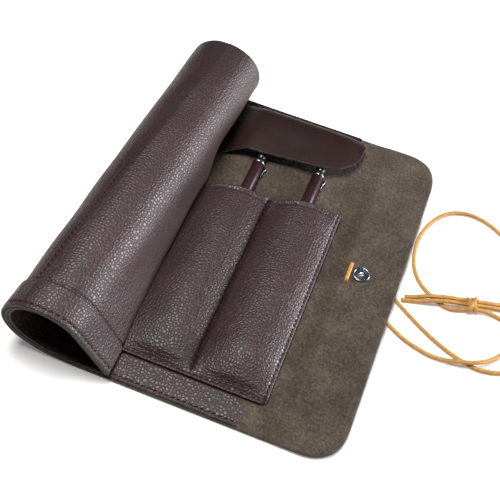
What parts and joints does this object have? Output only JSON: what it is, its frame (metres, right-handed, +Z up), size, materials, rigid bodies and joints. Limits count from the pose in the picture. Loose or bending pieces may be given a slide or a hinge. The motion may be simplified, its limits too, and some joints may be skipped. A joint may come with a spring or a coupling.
{
  "type": "fountain pen case",
  "caption": "Wrap-around leather pen roll, open with one end still rolled, sewn slots with pens, a protective flap, a button and a lace tie.",
  "frame": {"origin": "on the ground, in the middle of the leather's outline as it lies, without the free lace", "axes": "+X from the rolled end towards the closing end, +Y along the pens towards the top flap, +Z up"},
  "size_m": [0.2412, 0.2, 0.045],
  "materials": {
    "grain_hide": "pebbled grain outside, suede inside",
    "pocket_leather": "pebbled grain",
    "smooth_leather": "smooth satin",
    "waxed_thread": "waxed",
    "nickel_steel": "nickel plated",
    "tan_lace": "greased, matt",
    "burgundy_resin": "polished",
    "black_resin": "polished",
    "chrome_trim": "polished",
    "gilt_nib": "polished",
    "ink_cartridge": "moulded"
  },
  "bodies": {
    "case": {"hide_base": "grain_hide", "pocket_slot_1": "pocket_leather", "pocket_slot_2": "pocket_leather", "pocket_slot_3": "pocket_leather", "strip_base": "pocket_leather", "flap_band": "smooth_leather", "thread_strip": "waxed_thread", "thread_flap": "waxed_thread", "thread_pocket_side": "waxed_thread", "thread_pocket_bottom": "waxed_thread", "thread_divider_1": "waxed_thread", "thread_divider_2": "waxed_thread", "lace_tail_short": "tan_lace", "lace_tail_long": "tan_lace", "lace_knot": "tan_lace"},
    "closing_end": {"hide_closing_end": "grain_hide", "button_flange": "nickel_steel", "button_post": "nickel_steel", "button_head": "nickel_steel", "lace_keeper": "tan_lace"},
    "top_flap": {"top_flap": "smooth_leather"},
    "fold_1": {"hide_fold_1": "grain_hide", "pocket_fold_1": "pocket_leather", "strip_fold_1": "pocket_leather", "flap_fold_1": "smooth_leather", "thread_fold_1": "waxed_thread"},
    "fold_2": {"hide_fold_2": "grain_hide", "pocket_fold_2": "pocket_leather", "strip_fold_2": "pocket_leather", "flap_fold_2": "smooth_leather", "thread_fold_2": "waxed_thread"},
    "fold_3": {"hide_fold_3": "grain_hide", "pocket_fold_3": "pocket_leather", "strip_fold_3": "pocket_leather", "flap_fold_3": "smooth_leather", "thread_fold_3": "waxed_thread"},
    "fold_4": {"hide_fold_4": "grain_hide", "strip_fold_4": "pocket_leather", "thread_fold_4": "waxed_thread"},
    "pen_right": {"pen_right_cap": "burgundy_resin", "pen_right_clip": "chrome_trim", "pen_right_finial": "black_resin", "pen_right_barrel": "burgundy_resin", "pen_right_section": "black_resin", "pen_right_nib": "gilt_nib", "pen_right_feed": "black_resin", "pen_right_cartridge": "ink_cartridge"},
    "pen_left": {"pen_left_cap": "burgundy_resin", "pen_left_clip": "chrome_trim", "pen_left_finial": "black_resin", "pen_left_barrel": "burgundy_resin", "pen_left_section": "black_resin", "pen_left_nib": "gilt_nib", "pen_left_feed": "black_resin", "pen_left_cartridge": "ink_cartridge"}
  },
  "joints": [
    {"name": "closing_end_fold", "type": "hinge", "parent": "case", "child": "closing_end", "pos_m": [0.0435, 0, 0.0022], "axis": [0, -1, 0], "range_deg": [0, 90]},
    {"name": "top_flap_lift", "type": "hinge", "parent": "case", "child": "top_flap", "pos_m": [0, 0.095, 0.0038], "axis": [-1, 0, 0], "range_deg": [0, 130]},
    {"name": "unroll_1", "type": "hinge", "parent": "case", "child": "fold_1", "pos_m": [-0.05416, 0, 0], "axis": [0, -1, 0], "range_deg": [0, 15]},
    {"name": "unroll_2", "type": "hinge", "parent": "fold_1", "child": "fold_2", "pos_m": [-0.07678, 0, 0.00937], "axis": [0, -1, 0], "range_deg": [0, 50]},
    {"name": "unroll_3", "type": "hinge", "parent": "fold_2", "child": "fold_3", "pos_m": [-0.07999, 0, 0.03376], "axis": [0, -1, 0], "range_deg": [0, 70]},
    {"name": "unroll_4", "type": "hinge", "parent": "fold_3", "child": "fold_4", "pos_m": [-0.05366, 0, 0.04334], "axis": [0, -1, 0], "range_deg": [0, 70]},
    {"name": "pen_right_slide", "type": "slide", "parent": "case", "child": "pen_right", "axis": [0, 1, 0], "range_m": [0, 0.014]},
    {"name": "pen_left_slide", "type": "slide", "parent": "case", "child": "pen_left", "axis": [0, 1, 0], "range_m": [0, 0.014]}
  ],
  "couplings": [
    {"joint": "unroll_1", "follows": "unroll_2", "ratio": 0.3},
    {"joint": "unroll_3", "follows": "unroll_2", "ratio": 1.4},
    {"joint": "unroll_4", "follows": "unroll_2", "ratio": 1.4}
  ]
}
